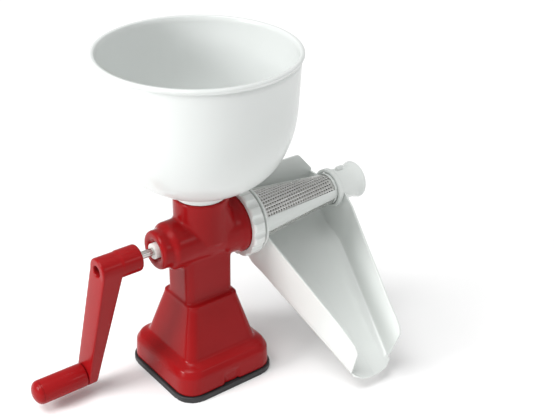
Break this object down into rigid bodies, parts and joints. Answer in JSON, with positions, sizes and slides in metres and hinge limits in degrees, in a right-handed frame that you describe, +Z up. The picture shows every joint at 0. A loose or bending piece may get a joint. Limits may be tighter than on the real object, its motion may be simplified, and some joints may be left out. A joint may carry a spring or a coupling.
{
  "type": "food mill",
  "caption": "Hand-cranked food mill with a suction-footed body, a bowl hopper, an auger in a conical screen, a pouring chute and a waste spout.",
  "frame": {"origin": "centre of the suction pad's underside, on the table", "axes": "+Z up; +X along the barrel from the crank to the waste spout; -Y towards the side where the chute pours"},
  "size_m": [0.3953, 0.248, 0.357],
  "materials": {
    "red_plastic": "glossy moulded plastic",
    "white_plastic": "glossy moulded plastic",
    "black_rubber": "matt rubber",
    "steel": "satin",
    "perforated_steel": "bright perforated sheet",
    "nylon": "satin moulded plastic"
  },
  "bodies": {
    "base": {"housing": "red_plastic", "suction_pad": "black_rubber", "pad_screws": "steel", "shaft_bushing": "nylon", "shaft_seal": "black_rubber", "thrust_washer": "nylon", "barrel_gasket": "black_rubber", "release_spring": "steel"},
    "lever": {"suction_lever": "red_plastic", "lever_screw": "steel", "cam_shaft": "steel", "pull_cam": "nylon"},
    "puller": {"pad_plate": "steel", "pull_yoke": "nylon"},
    "crank": {"drive_shaft": "steel", "auger_spring": "steel", "auger": "nylon", "crank_arm": "red_plastic", "crank_washer": "steel", "crank_screw": "steel", "grip_pin": "steel", "grip_push_nut": "steel"},
    "grip": {"grip": "red_plastic", "grip_end_cap": "red_plastic"},
    "hopper": {"hopper": "white_plastic"},
    "strainer": {"screen_frame": "white_plastic", "screen_mesh": "perforated_steel", "chute": "white_plastic"},
    "nut": {"ring_nut": "white_plastic"},
    "spout": {"waste_spout": "white_plastic"}
  },
  "joints": [
    {"name": "crank_spin", "type": "hinge", "parent": "base", "child": "crank", "pos_m": [0, 0, 0.1585], "axis": [1, 0, 0], "continuous": true},
    {"name": "grip_spin", "type": "hinge", "parent": "crank", "child": "grip", "pos_m": [-0.15, 0.0289, 0.02254], "axis": [1, 0, 0], "continuous": true},
    {"name": "hopper_lift", "type": "slide", "parent": "base", "child": "hopper", "axis": [0, 0, 1], "range_m": [0, 0.06]},
    {"name": "strainer_slide", "type": "slide", "parent": "base", "child": "strainer", "axis": [1, 0, 0], "range_m": [0, 0.15]},
    {"name": "nut_turn", "type": "hinge", "parent": "strainer", "child": "nut", "pos_m": [0.05, 0, 0.1585], "axis": [1, 0, 0], "continuous": true},
    {"name": "spout_turn", "type": "hinge", "parent": "strainer", "child": "spout", "pos_m": [0.19, 0, 0.1585], "axis": [1, 0, 0], "range_deg": [0, 90]},
    {"name": "lever_turn", "type": "hinge", "parent": "base", "child": "lever", "pos_m": [0, 0, 0.022], "axis": [0, -1, 0], "range_deg": [0, 90]},
    {"name": "pad_pull", "type": "slide", "parent": "base", "child": "puller", "axis": [0, 0, 1], "range_m": [0, 0.003], "deforming": ["release_spring"]}
  ],
  "couplings": [
    {"joint": "pad_pull", "follows": "lever_turn", "m_per_rad": 0.0019098}
  ]
}
